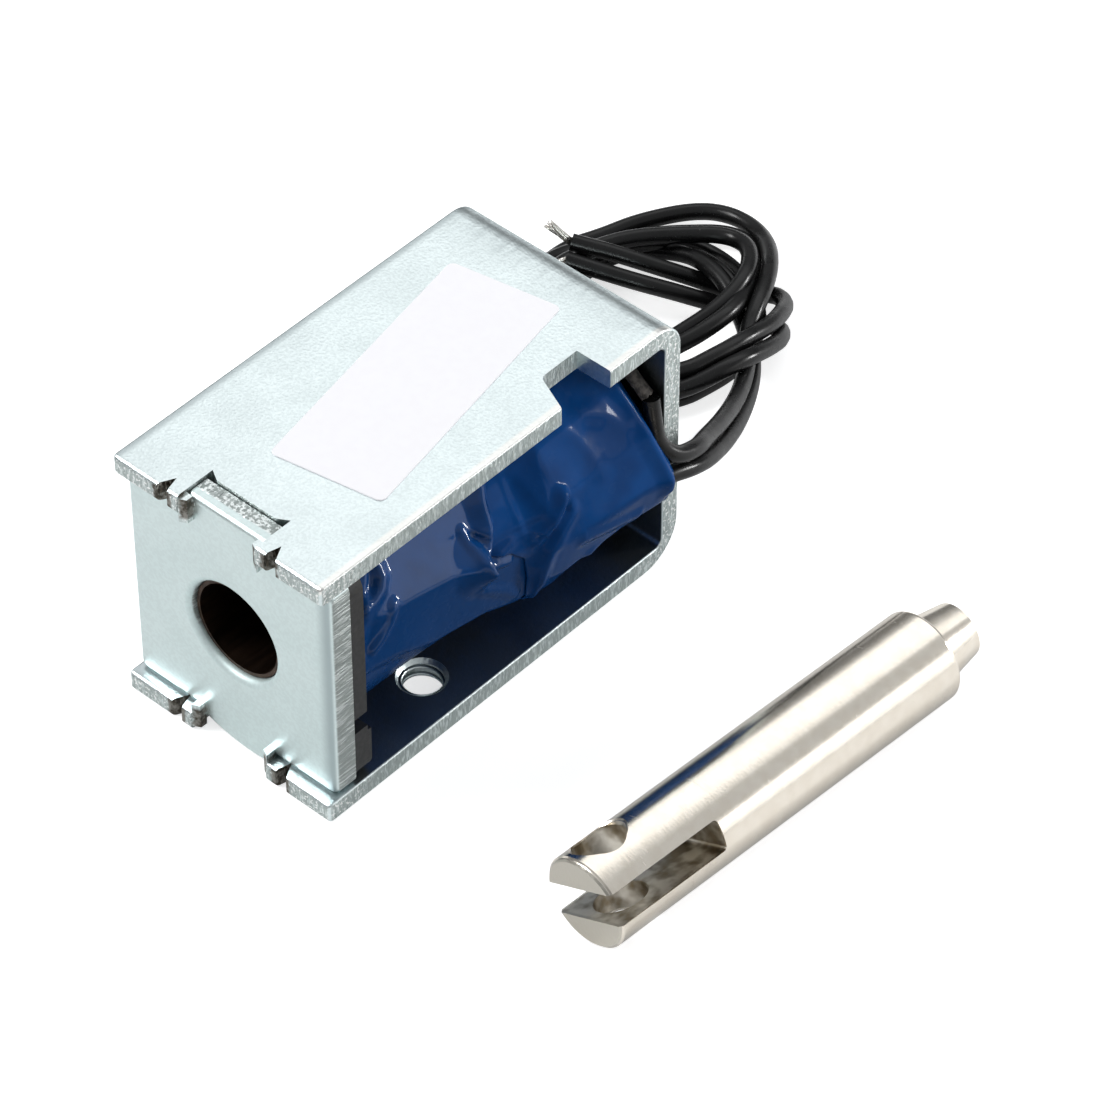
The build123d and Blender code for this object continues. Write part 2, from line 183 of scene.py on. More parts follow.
# the two leads, each from the coil through the hank to its cut end, in millimetres
leads = {
    "diameter": 1.38,
    "outerLead": [
        (9.35, 16.1, 16.7), (9.75, 15.95, 14.6), (10.2, 15.95, 12.7), (11.0, 17.1, 11.2),
        (10.8, 19.6, 10.1), (9.7, 21.9, 8.85), (8.1, 25.8, 6.91), (6.1, 29.9, 5.06), (3.9, 33.5, 3.84),
        (2, 35.9, 3.57), (0.8, 37.4, 3.88), (0.1, 39.1, 4.32), (-0.9, 41.2, 4.27), (-2.5, 43.8, 3.71),
        (-4.5, 46.2, 2.81), (-6.9, 48.1, 1.83), (-9.6, 48.8, 1.42), (-11.8, 48.3, 1.26), (-13.5, 47, 1.1),
        (-14.9, 45.1, 0.95), (-16.1, 43, 0.8), (-16.9, 40.6, 0.7), (-18, 38, 0.7), (-18.1, 34.7, 0.7),
        (-16.4, 31, 0.72), (-13.3, 28.1, 0.83), (-9.5, 26.7, 1.25), (-5.9, 27.6, 2.02), (-3.7, 30.4, 2.99),
        (-2.6, 34.6, 3.81), (-2.2, 36.6, 4.15), (-2.2, 38.9, 4.45), (-2.6, 40.9, 4.72), (-3.7, 42.9, 4.41),
        (-5.2, 44.4, 3.97), (-6.7, 44.8, 3.66), (-8, 44.4, 3.57), (-9.2, 43.4, 3.61), (-10.8, 41.7, 3.68),
        (-12.4, 39.9, 3.76), (-13.6, 38, 3.72), (-14.5, 36, 3.52), (-14.4, 33.6, 3.09),
        (-12.9, 31.1, 2.48), (-10.1, 29.1, 1.7), (-6.6, 28.1, 1.04), (-3.3, 27.8, 0.96),
        (-0.8, 28.8, 1.06), (0.4, 30.5, 1.16), (0.8, 32.4, 1.2), (1.1, 34.3, 1.24), (1.1, 36.3, 1.28),
        (0.6, 38.2, 1.48), (-0.2, 39.8, 2.02), (-1.4, 41, 2.51), (-3.4, 42.4, 2.1), (-5.3, 43.4, 1.8),
        (-7.3, 44, 1.55), (-9.2, 44.1, 1.39), (-10.7, 43.2, 1.87), (-11.8, 41.6, 2.45), (-13, 39.9, 2.6),
        (-14.2, 38.2, 2.58), (-15.9, 35.1, 2.57), (-15.1, 31.7, 2.88), (-12.1, 29, 3.32),
        (-8.5, 27.1, 3.66), (-4.7, 26.1, 3.81), (-1.3, 25.8, 4.12), (1.1, 26.6, 4.51), (2.4, 28.4, 4.84),
        (3.1, 29.9, 5.21), (3.6, 31.6, 5.5), (3.9, 33.7, 5.26), (3.5, 36.4, 4.07), (2.7, 39, 2.71),
        (1.4, 40.8, 1.65), (0.1, 41.3, 1.02), (-1.4, 41.1, 0.7), (-3, 40.8, 0.7), (-4.7, 40.3, 1.08),
        (-5.9, 39, 1.86), (-7.2, 37.6, 2.74), (-9.1, 36.1, 3.44), (-11.5, 34.8, 3.94), (-13.4, 33.9, 4.26),
        (-14.3, 33.4, 4.49),
    ],
    "innerLead": [
        (10.1, 9.5, 9.6), (10.3, 13, 9.7), (10.7, 16.5, 9.6), (11, 19.4, 8.6), (10.1, 22.5, 7.06),
        (8.3, 26.6, 5.02), (6.1, 30.7, 3.38), (4, 34.1, 2.44), (2.2, 36.3, 2.37), (0.5, 37.7, 2.63),
        (-1.2, 38.9, 2.82), (-2.8, 39.9, 2.94), (-4.4, 40.7, 3.2), (-6.2, 41.3, 3.14), (-8.5, 41.9, 2.62),
        (-10.7, 41.8, 1.97), (-12.6, 41.1, 1.46), (-13.9, 39.5, 1.46), (-14.6, 37.4, 1.4),
        (-14.7, 34.7, 1.19), (-13.1, 32.1, 1.06), (-10.4, 30.3, 0.94), (-7, 29.5, 0.87),
        (-3.9, 29.4, 0.84), (-1.9, 30.2, 0.8), (-0.6, 31.9, 0.77), (-0.3, 33.8, 0.73), (-0.1, 35.9, 0.7),
        (-0.3, 37.9, 0.7), (-1, 39.5, 1), (-2, 40.5, 1.62), (-3.2, 41.2, 2.16), (-4.8, 41.9, 2.39),
        (-6.8, 42.6, 2.14), (-9, 43, 1.61), (-11.4, 43, 0.92), (-13.3, 42, 0.77), (-14.6, 40.1, 0.92),
        (-15.9, 36.9, 1.17), (-16.1, 33.8, 1.34), (-14.6, 30.5, 1.57), (-11.4, 28.3, 2.01),
        (-7.6, 27.4, 2.74), (-4.3, 28.1, 3.53), (-2.3, 30, 4.01), (-1.2, 33, 4.51), (-0.8, 35, 4.8),
        (-0.8, 37.5, 4.8), (-2.1, 40.7, 3.82), (-3.8, 43.7, 2.69), (-5.4, 45.6, 1.95), (-7, 46.7, 1.66),
        (-8.5, 47, 1.43), (-10, 46.5, 1.24), (-11.5, 45.4, 1.06), (-13.3, 43.9, 0.88), (-14.9, 42, 0.72),
        (-15.8, 40, 0.76), (-17.2, 37.1, 1.3), (-17.2, 33.4, 2.19), (-15.3, 29.8, 3.1),
        (-11.8, 27.2, 3.92), (-7.8, 25.8, 4.63), (-3.8, 25.8, 5.22), (-0.3, 26.7, 5.42), (1.5, 29.4, 5.35),
        (1.9, 31.1, 5.45), (2.3, 33.1, 5.47), (2.4, 35.5, 5.2), (2, 38.4, 4.15), (1, 41, 2.98),
        (-0.1, 43, 1.9), (-1.6, 44.1, 1.17), (-2.8, 44, 0.8), (-4.4, 42.9, 0.7), (-6, 42, 0.92),
        (-7.3, 40.8, 1.77), (-8.7, 39.3, 2.79), (-10.5, 37.8, 3.7), (-12.8, 36.3, 4.43),
        (-14.4, 35.3, 4.74), (-15.1, 34.9, 4.89),
    ],
}


def layLead(name, replaced):
    points = leads[name]
    curve = bpy.data.curves.new(name, "CURVE")
    curve.dimensions = "3D"
    curve.resolution_u = 8
    curve.bevel_depth = 1.0      # the points carry the real radius
    curve.bevel_resolution = 5
    curve.use_fill_caps = True
    line = curve.splines.new("NURBS")
    line.points.add(len(points) - 1)
    for dot, place in zip(line.points, points):
        dot.co = (*(Vector(place) * mm), 1)
        dot.radius = leads["diameter"] / 2 * mm
    line.order_u = 3
    line.use_endpoint_u = True
    lead = linkObject(name, curve)
    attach(lead, "solenoid_body")
    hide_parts(*replaced)
    return lead


# blue film wound round the coil, in two bands
# places are in degrees up from the open side and in millimetres along the bore
tape = {
    "axisHeight": 11.6,
    "thickness": 0.06,
    "headroom": 9.8,         # from the axis to just inside the frame
    "windingRadius": 8.95,
    "meanRadius": 9.4,
    "rows": 120, "tableRows": 60,
    # fine steps where the film is seen, coarse ones where it is hidden
    "steps": [(-66, 76, 0.9), (76, 294, 3.2)],
    # how a crease is rounded at its top: under the root, off the root, and the power of its slopes
    "creaseRound": 0.045, "creaseDrop": 0.212, "creasePower": 1.6,
    # how far each degree of a corner is shared with its neighbours
    "easing": [(-2, 0.1), (-1, 0.2), (0, 0.4), (1, 0.2), (2, 0.1)],
    # scale, steepness, share and shift of the small crinkles
    "crinkles": [(0.33, 2.2, 1.0, (0, 0, 0)), (0.9, 2.4, 0.35, (7, 3, 1))],
    "crinkleAlong": 0.8,     # under 1, so they run a little longer along the bore
    "front": {
        "seed": (3, 0, 5),
        "crinkle": 0.016,    # height
        "edge": -14.2, "back": 6.6,
        # corner lines of the taut film: each has (along, degrees, radius) stations
        "corners": [
            [(-15, 180, 9.1), (5, 180, 9.1)], [(-15, 140, 9.15), (5, 140, 9.2)],
            [(-15, 108, 9.2), (5, 108, 9.3)], [(-15, 84, 9.5), (5, 84, 9.5)],
            [(-15, 62, 9.75), (5, 62, 9.8)],
            [(-14, 24, 9.5), (-10.4, 20, 9.6), (-7.9, 17.5, 9.65), (-5.2, 14.5, 9.7), (-2.5, 10, 9.7),
             (-1.5, 4, 9.6), (5, 2, 9.4)],
            [(-13, -3, 9.2), (-10.2, -6, 9.35), (-6.7, -17, 9.5), (-4.5, -20, 9.6), (-1, -24, 9.9),
             (2.5, -33, 10.5), (5, -33, 10.4)],
            [(-15, -42, 9.1), (-4, -48, 9.3), (2.5, -58, 9.9), (5, -58, 9.8)],
            [(-15, -80, 9.2), (5, -82, 9.4)], [(-15, -110, 9.15), (5, -112, 9.2)],
            [(-15, -145, 9.1), (5, -145, 9.15)],
        ],
        # lift, half width towards the front, half width towards the back, places along the crease
        "folds": [
            (1.2, 2.6, 0.8, [(60, 1.5), (46, 0.8), (41, 0.4), (34, -0.1), (23, -0.4), (18, -0.9),
                             (12, -1.9), (7, -1.9)]),
            (0.3, 0.5, 0.5, [(29, -2.5), (22, -2.4), (14, -2.2), (8, -1.9)]),
            (-0.42, 0.5, 0.45, [(23, -1.9), (19, -1.3)]),
            (0.3, 0.35, 0.35, [(6, -1.5), (3, -0.3), (0, 0.7)]),
            (0.35, 0.7, 0.7, [(8, 0.0), (9, 1.0)]),
            (0.3, 0.7, 0.4, [(48, -10.9), (40, -11.4), (35, -12.1), (30, -12.8)]),
            (0.6, 0.7, 0.9, [(50, -10.9), (45, -10.5), (40, -10.2), (35, -10.3), (31, -10.9),
                             (29, -11.8), (28, -13.0)]),
            (0.25, 0.45, 0.45, [(22, -10.4), (15, -11.0), (10, -11.8), (6, -12.8)]),
            (-0.2, 0.8, 0.9, [(18, -12.6), (8, -13.4)]),
            (0.22, 0.7, 0.5, [(-8, -1.6), (-16, 0.2), (-26, 1.9)]),
        ],
    },
    "rear": {
        "seed": (11, 4, 2),
        "crinkle": 0.014,
        "corners": [
            [(0, 180, 9.35), (17, 180, 9.3)], [(0, 140, 9.4), (17, 140, 9.4)],
            [(0, 108, 9.6), (17, 108, 9.6)], [(0, 82, 9.6), (17, 80, 9.7)],
            [(0, 58, 9.55), (17, 60, 9.75)],
            [(2, 38, 9.6), (5.5, 39, 10.2), (12, 40, 9.95), (17, 40, 9.85)],
            [(2.6, 15, 9.8), (5.4, 16, 10.7), (8, 16, 10.5), (12, 16, 10.45), (17, 16, 10.6)],
            [(2.6, -3, 10.1), (5.0, -4, 10.9), (9.5, -4, 11.4), (13, -4, 11.6), (17, -6, 12.1)],
            [(3, -22, 10.5), (6, -24, 11.0), (12, -20, 11.3), (17, -18, 11.9)],
            [(3, -38, 10.7), (6, -38, 11.0), (9, -37, 10.4), (12, -36, 10.2), (17, -36, 10.3)],
            [(3, -62, 9.9), (7, -60, 9.9), (17, -62, 9.8)], [(0, -85, 9.6), (17, -85, 9.7)],
            [(0, -112, 9.4), (17, -112, 9.5)], [(0, -145, 9.35), (17, -145, 9.3)],
        ],
        # against the degrees: where the band starts, how far it takes to come off the first band,
        # where its rim turns in, and where it ends
        "start": [
            (-180, 0.5), (-90, 0.8), (-60, 2.0), (-34, 3.1), (-21, 3.0), (-6, 2.4), (4, 0.9), (9, -0.9),
            (14, -0.7), (18, -0.2), (23, 0.1), (34, 0.4), (46, 1.3), (60, 2.2), (110, 0.6), (180, 0.5),
        ],
        "lapLength": [
            (-180, 0.8), (-12, 0.7), (2, 2.6), (12, 4.6), (40, 4.6), (70, 1.5), (180, 0.8),
        ],
        "rim": [
            (-180, 14.3), (-75, 13.8), (-52, 14.6), (-34, 16.0), (-12, 15.9), (0, 15.7), (14, 15.1),
            (27, 14.8), (41, 14.4), (55, 13.6), (90, 13.6), (180, 14.3),
        ],
        "back": [
            (-180, 14.9), (-75, 14.5), (-52, 15.2), (-38, 16.3), (-8, 16.3), (3, 16.0), (14, 15.7),
            (27, 15.5), (45, 15.3), (60, 15.2), (180, 14.9),
        ],
        "rimSlope": 0.9,
        "fadeLength": 1.6, "fadeDepth": 0.9,
        "folds": [
            (0.42, 0.8, 0.5, [(18, 5.9), (14, 5.2), (7, 3.9), (3, 3.1)]),
            (0.3, 0.35, 0.9, [(8, 6.2), (4, 5.2), (-4, 3.9), (-21, 3.7), (-34, 3.8)]),
            (-0.25, 0.6, 0.6, [(10, 6.0), (4, 4.6), (-3, 3.4)]),
            (0.1, 0.3, 0.3, [(46, 2.6), (38, 2.2), (27, 2.1), (14, 2.2), (3, 2.4)]),
            (0.36, 1.1, 0.5, [(46, 14.0), (41, 14.1), (27, 14.5), (14, 14.8), (0, 15.3), (-10, 15.6)]),
            (0.2, 0.8, 0.5, [(-8, 7.2), (-10, 8.9), (-13, 10.9), (-16, 13.0)]),
            (0.22, 0.8, 0.8, [(-24, 8.6), (-29, 10.6), (-32, 12.6), (-33, 15.0)]),
            (0.2, 1.4, 1.6, [(46, 7.6), (33, 9.0), (20, 9.6)]),
            (0.22, 1.2, 1.2, [(40, 10.4), (33, 12.2), (24, 13.4)]),
            (0.18, 1.0, 1.2, [(36, 3.2), (22, 3.9), (9, 4.4)]),
        ],
    },
}


def stations(pairs):
    return lambda degrees: np.interp(degrees, *zip(*pairs))


def polygonRadius(corners, along, degrees):
    # the film runs straight from one corner line to the next
    spots = []
    for line in corners:
        places, angles, radii = zip(*line)
        spots.append((np.interp(along, places, angles), np.interp(along, places, radii)))
    spots.sort()
    spots = [(spots[-1][0] - 360, spots[-1][1])] + spots + [(spots[0][0] + 360, spots[0][1])]
    radius = np.zeros(degrees.shape)
    for (a0, r0), (a1, r1) in zip(spots, spots[1:]):
        inside = (degrees >= a0) & (degrees <= a1)
        t0, t1, t = math.radians(a0), math.radians(a1), np.radians(degrees[inside])
        radius[inside] = r0 * r1 * math.sin(t1 - t0) / (r0 * np.sin(t - t0) + r1 * np.sin(t1 - t))
    return radius


def foldLift(folds, degrees, along):
    # every crease is highest on its line, with its own slope towards each end of the bore
    total = np.zeros(degrees.shape)
    across = np.radians(degrees) * tape["meanRadius"]
    for lift, front, back, places in folds:
        near = np.full(degrees.shape, np.inf)
        side = np.zeros(degrees.shape)
        line = [np.array([math.radians(a) * tape["meanRadius"], y]) for a, y in places]
        for p, q in zip(line, line[1:]):
            run = q - p
            t = np.clip(((across - p[0]) * run[0] + (along - p[1]) * run[1]) / run.dot(run), 0, 1)
            dx, dy = across - p[0] - t * run[0], along - p[1] - t * run[1]
            away = np.hypot(dx, dy)
            closer = away < near
            near = np.where(closer, away, near)
            side = np.where(closer, dy, side)
        width = np.where(side < 0, front, back)
        near = np.sqrt(near ** 2 + tape["creaseRound"]) - tape["creaseDrop"]
        total += lift * np.clip(1 - near / width, 0, 1) ** tape["creasePower"]
    return total


def crinkles(degrees, along, seed):
    # small flats and creases of stretched film
    layers = [(scale, steep, share, Vector(shift)) for scale, steep, share, shift in tape["crinkles"]]
    heights = []
    for degree, y in zip(degrees.flat, along.flat):
        a = math.radians(degree)
        spot = Vector((math.cos(a) * tape["meanRadius"], y * tape["crinkleAlong"],
                       math.sin(a) * tape["meanRadius"])) + seed
        heights.append(sum(share * (1 - abs(noise.noise(spot * scale + shift)) * steep)
                           for scale, steep, share, shift in layers))
    return np.reshape(heights, degrees.shape)


def bandRadius(band, around, along):
    # radius of the straight-sided wrap, tabled along and around, with its corners eased
    ys, ds = np.linspace(along.min(), along.max(), tape["tableRows"]), np.arange(-180, 180, 1.0)
    table = np.array([polygonRadius(band["corners"], y, ds) for y in ys])
    table = sum(share * np.roll(table, shift, 1) for shift, share in tape["easing"])
    radius = np.zeros(along.shape)
    for c, turned in enumerate(around[0]):
        column = [np.interp(turned, ds, row, period=360) for row in table]
        radius[:, c] = np.interp(along[:, c], ys, column)
    lifted = radius + foldLift(band["folds"], around, along)
    lifted = lifted + band["crinkle"] * crinkles(around, along, Vector(band["seed"]))
    return np.maximum(lifted, tape["windingRadius"])


def frontRadius(around, along):
    return bandRadius(tape["front"], around, along)


def rearRadius(around, along):
    # the second band starts flat on the first one and then follows its own corners
    rear, frontBack = tape["rear"], tape["front"]["back"]
    radius = bandRadius(rear, around, along)
    under = frontRadius(around, np.minimum(along, frontBack)) + tape["thickness"] * 2
    t = np.clip((along - along[0][None, :]) / stations(rear["lapLength"])(around[0])[None, :], 0, 1)
    radius = np.where(along < frontBack, under * (1 - t) + radius * t, radius)
    # its edge fades out a little way past the end of the first band
    fade = np.clip((along - frontBack) / rear["fadeLength"], 0, 1)
    radius = np.maximum(radius, under - fade * rear["fadeDepth"])
    past = np.clip(along - stations(rear["rim"])(around[0])[None, :], 0, None)
    return radius - past * rear["rimSlope"]


def wrapBand(name, radiusAt, startAlong, endAlong):
    degrees = np.concatenate([np.arange(*span) for span in tape["steps"]])
    turned = (degrees + 180) % 360 - 180
    start, end = startAlong(turned), endAlong(turned)
    rows = tape["rows"]
    along = start[None, :] + (end - start)[None, :] * np.linspace(0, 1, rows)[:, None]
    around = np.repeat(turned[None, :], rows, 0)
    radius = np.clip(radiusAt(around, along), tape["windingRadius"], None)
    up = np.abs(np.sin(np.radians(around))) + 1e-6    # never quite zero
    radius = np.minimum(radius, tape["headroom"] / up)
    x, z = radius * np.cos(np.radians(around)), radius * np.sin(np.radians(around)) + tape["axisHeight"]
    verts = np.stack([x, along, z], -1).reshape(-1, 3) * mm
    band = newMesh(name, verts.tolist(), ringFaces(rows, len(degrees)))
    film = band.modifiers.new("filmThickness", "SOLIDIFY")
    film.thickness = tape["thickness"] * mm
    film.offset = -1
    return band


frontFilm = wrapBand("frontFilm", frontRadius, stations([(0, tape["front"]["edge"])]),
                     stations([(0, tape["front"]["back"])]))
rearFilm = wrapBand("rearFilm", rearRadius, stations(tape["rear"]["start"]), stations(tape["rear"]["back"]))
for band, node in ((frontFilm, "front_tape_band"), (rearFilm, "rear_tape_band")):
    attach(band, "solenoid_body")
    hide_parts(node)
print("tape wrapped")


def meshPiece(name, verts, faces, node, smooth=True):
    piece = newMesh(name, [Vector(v) * mm for v in verts], faces, smooth)
    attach(piece, "solenoid_body")
    if node:
        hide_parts(node)
    return piece


# bare paper label, laid by hand a little askew
label = {
    "width": 9.4,
    "length": 23.5,
    "turn": 10.3,
    "place": (0.5, 1.2, 23.2),
    "corner": 0.55,
    "cornerSteps": 6,
    "layers": [(0.0, 0.0), (0.0, 0.06), (0.05, 0.1)],    # how far each outline is drawn in, and its height
}


def makeLabel():
    outline = []
    for sx, sy, first in ((1, 1, 0), (-1, 1, 90), (-1, -1, 180), (1, -1, 270)):
        cx, cy = sx * (label["width"] / 2 - label["corner"]), sy * (label["length"] / 2 - label["corner"])
        for step in range(label["cornerSteps"] + 1):
            a = math.radians(first + step * 90 / label["cornerSteps"])
            outline.append((cx + label["corner"] * math.cos(a), cy + label["corner"] * math.sin(a)))
    cosine, sine = math.cos(math.radians(label["turn"])), math.sin(math.radians(label["turn"]))
    px, py, pz = label["place"]
    verts = []
    for shrink, height in label["layers"]:
        for x, y in outline:
            x, y = x - math.copysign(shrink, x), y - math.copysign(shrink, y)
            verts.append((px + x * cosine - y * sine, py + x * sine + y * cosine, pz + height))
    n = len(outline)
    faces = ringFaces(len(label["layers"]), n)
    faces += [tuple(range(len(verts) - n, len(verts))), tuple(reversed(range(n)))]
    return meshPiece("paperLabel", verts, faces, "label", smooth=False)


# cut threads in the two tapped holes, which run out at both ends
thread = {
    "holes": [(6.1, -4.85), (-6.1, 4.85)],
    "root": 1.66, "crest": 1.45,
    "pitch": 0.7,
    "from": 0.12, "to": 1.58,
    "stepsEachTurn": 40,
    "rootWidth": 0.24, "crestWidth": 0.04,    # half widths
    "buried": 0.02,
    "runOut": 6, "thinnest": 0.3,
}


def makeThread(name, place):
    turns = (thread["to"] - thread["from"]) / thread["pitch"]
    steps = int(turns * thread["stepsEachTurn"])
    foot, wide, thin = thread["root"] + thread["buried"], thread["rootWidth"], thread["crestWidth"]
    least = thread["thinnest"]
    verts, faces = [], []
    for k in range(steps + 1):
        t = k / steps
        a = t * turns * 2 * math.pi
        z = thread["from"] + (thread["to"] - thread["from"]) * t
        grown = min(1.0, t * thread["runOut"], (1 - t) * thread["runOut"])
        crest = thread["root"] - (thread["root"] - thread["crest"]) * grown
        for r, dz in ((foot, -wide), (crest, -thin), (crest, thin), (foot, wide)):
            x, y = place[0] + r * math.cos(a), place[1] + r * math.sin(a)
            verts.append((x, y, z + dz * (least + (1 - least) * grown)))
    for k in range(steps):
        for j in range(3):
            i = k * 4 + j
            faces.append((i, i + 4, i + 5, i + 1))
        faces.append((k * 4 + 3, k * 4 + 7, k * 4 + 4, k * 4))
    faces += [(0, 1, 2, 3), tuple(steps * 4 + j for j in (3, 2, 1, 0))]
    return meshPiece(name, verts, faces, None)


def tubeRings(path, radii, sides, verts, faces, squash=1.0, capped=True):
    # a tube along a few points, round or flattened, with its ends closed or left open
    base = len(verts)
    points = [Vector(p) for p in path]
    for k, point in enumerate(points):
        ahead = (points[min(k + 1, len(points) - 1)] - points[max(k - 1, 0)]).normalized()
        across = ahead.cross(Vector((0.3, 0.2, 1))).normalized()    # no path here runs that way
        other = ahead.cross(across)
        for j in range(sides):
            a = 2 * math.pi * j / sides
            verts.append(point + across * radii[k] * math.cos(a) + other * radii[k] * squash * math.sin(a))
    faces += ringFaces(len(points), sides, base)
    if capped:
        faces.append(tuple(base + j for j in reversed(range(sides))))
        faces.append(tuple(base + (len(points) - 1) * sides + j for j in range(sides)))


# tinned strands at the cut ends: each strand leaves the cut and bends its own way
strands = {
    "radius": 0.105,
    "sides": 8,
    "count": 7,            # one in the middle and the others round it
    "ring": 0.21,
    "spread": 0.30, "spreadRange": (0.2, 1.0),
    "reachRange": (0.80, 1.0),
    "twist": 1.6,
    "stops": (0.0, 0.3, 0.55, 0.8, 1.0),
    "upper": {"from": (-15.02, 34.86, 4.87), "to": (-16.9, 34.05, 6.35)},
    "lower": {"from": (-14.22, 33.42, 4.47), "to": (-16.0, 32.2, 3.3)},
}


def makeStrands(name, look, node):
    start, end = Vector(look["from"]), Vector(look["to"])
    ahead = (end - start).normalized()
    across = ahead.cross(Vector((0, 0, 1))).normalized()
    other = ahead.cross(across)
    verts, faces = [], []
    outer = strands["count"] - 1
    for k in range(strands["count"]):
        a = 2 * math.pi * k / outer
        out = 0.0 if k == outer else strands["ring"]
        wide = out + strands["spread"] * random.uniform(*strands["spreadRange"])
        reach = random.uniform(*strands["reachRange"])
        path = []
        for t in strands["stops"]:
            twist = a + t * strands["twist"]
            r = out + (wide - out) * t * t
            aside = across * math.cos(twist) + other * math.sin(twist)
            path.append(start + (end - start) * t * reach + aside * r)
        tubeRings(path, [strands["radius"]] * len(path), strands["sides"], verts, faces)
    return meshPiece(name, [tuple(v) for v in verts], faces, node)


# woven sleeve over the hidden joint: a thin wall, flattened where it was tucked in and frayed at its end
sleeve = {
    "path": [(6.3, 15.95, 18.82), (7.0, 15.93, 18.45), (7.8, 15.93, 17.9), (8.5, 15.96, 17.3),
             (9.1, 16.03, 16.75)],
    "radii": [0.60, 0.60, 0.58, 0.57, 0.60],
    "wall": 0.13,
    "sides": 28,
    "squash": 0.86, "innerSquash": 0.84,
    "fray": (-0.10, 0.05),
}


def makeSleeve():
    verts, faces = [], []
    path, sides = sleeve["path"], sleeve["sides"]
    innerRadii = [r - sleeve["wall"] for r in sleeve["radii"]]
    tubeRings(path, sleeve["radii"], sides, verts, faces, squash=sleeve["squash"], capped=False)
    tubeRings(path, innerRadii, sides, verts, faces, squash=sleeve["innerSquash"], capped=False)
    inner, last = len(path) * sides, (len(path) - 1) * sides
    along = (Vector(path[-1]) - Vector(path[-2])).normalized()
    for j in range(sides):
        frayed = along * random.uniform(*sleeve["fray"])
        verts[last + j] = verts[last + j] + frayed
        verts[inner + last + j] = verts[inner + last + j] + frayed
        k = (j + 1) % sides
        faces.append((last + j, last + k, inner + last + k, inner + last + j))
        faces.append((inner + j, inner + k, k, j))
    return meshPiece("wovenSleeve", [tuple(v) for v in verts], faces, "fibre_sleeve")


upperStrands = makeStrands("upperStrands", strands["upper"], "bare_end_a")
lowerStrands = makeStrands("lowerStrands", strands["lower"], "bare_end_b")
outerLead = layLead("outerLead", ["lead_a", "lead_hank", "lead_tail_b"])
innerLead = layLead("innerLead", ["lead_b", "lead_tail_a"])
print("leads laid")

paperLabel = makeLabel()
threads = [makeThread(name, place) for name, place in zip(("threadFront", "threadRear"), thread["holes"])]
wovenSleeve = makeSleeve()
print("small pieces made")


def math2(tree, operation, first, second=None):
    node = addNode(tree, "ShaderNodeMath", operation=operation)
    setSocket(tree, node.inputs[0], first)
    if second is not None:
        setSocket(tree, node.inputs[1], second)
    return node.outputs[0]


def times(tree, first, *others):
    for other in others:
        first = math2(tree, "MULTIPLY", first, other)
    return first


def plus(tree, first, second):
    return math2(tree, "ADD", first, second)


def strongest(tree, first, *others):
    for other in others:
        first = math2(tree, "MAXIMUM", first, other)
    return first


def awayFrom(tree, across, up):
    # distance from an axis, by its two sides
    return math2(tree, "SQRT", plus(tree, times(tree, across, across), times(tree, up, up)))


def stretch(tree, value, low, high, toLow=0.0, toHigh=1.0):
    # a value moved from one range to another, smooth at both ends
    return addNode(tree, "ShaderNodeMapRange", interpolation_type="SMOOTHSTEP", Value=value, From_Min=low,
                   From_Max=high, To_Min=toLow, To_Max=toHigh).outputs["Result"]


def blendColours(tree, mask, first, second):
    node = addNode(tree, "ShaderNodeMix", data_type="RGBA", Factor=mask)
    setSocket(tree, node.inputs[6], first)
    setSocket(tree, node.inputs[7], second)
    return node.outputs[2]


def noiseValue(tree, vector, scale, detail=2.0):
    return addNode(tree, "ShaderNodeTexNoise", Vector=vector, Scale=scale, Detail=detail).outputs["Fac"]


def noiseMask(tree, vector, scale, detail, *span):
    return stretch(tree, noiseValue(tree, vector, scale, detail), *span)


def splitVector(tree, vector):
    return addNode(tree, "ShaderNodeSeparateXYZ", Vector=vector).outputs


def faceDirection(tree):
    return splitVector(tree, addNode(tree, "ShaderNodeNewGeometry").outputs["Normal"])


def mmPlaces(tree, scale=(1, 1, 1), rotation=(0, 0, 0), location=(0, 0, 0)):
    # object places in millimetres, turned or stretched where a grain needs it
    where = addNode(tree, "ShaderNodeTexCoord").outputs["Object"]
    place = addNode(tree, "ShaderNodeMapping", Vector=where, Location=location, Rotation=rotation,
                    Scale=tuple(k / mm for k in scale))
    return place.outputs[0]


def addBump(tree, shader, height, strength, distance, before=None):
    # relief in millimetres, laid over an earlier one
    bump = addNode(tree, "ShaderNodeBump", Height=height, Strength=strength, Distance=distance * mm)
    if before is not None:
        setInputs(tree, bump, Normal=before)
    setInputs(tree, shader, Normal=bump.outputs[0])
    return bump.outputs[0]


# shader groups that several finishes share: places and one number go in, masks come out
def newGroup(name, dial, value, *masks):
    group = bpy.data.node_groups.new(name, "ShaderNodeTree")
    group.interface.new_socket("Vector", in_out="INPUT", socket_type="NodeSocketVector")
    group.interface.new_socket(dial, in_out="INPUT", socket_type="NodeSocketFloat").default_value = value
    for mask in masks:
        group.interface.new_socket(mask, in_out="OUTPUT", socket_type="NodeSocketFloat")
    start, end = group.nodes.new("NodeGroupInput"), group.nodes.new("NodeGroupOutput")
    return group, start.outputs["Vector"], start.outputs[dial], end


def makePlatePebble():
    # the fine pebble of plated sheet, with soft clouds of tone
    group, places, scale, end = newGroup("platePebble", "Pebble Scale", 3.0, "Height", "Tone")
    setInputs(group, end, Height=noiseValue(group, places, scale, 3.0),
              Tone=noiseMask(group, places, 0.22, 2.0, 0.3, 0.7))
    return group


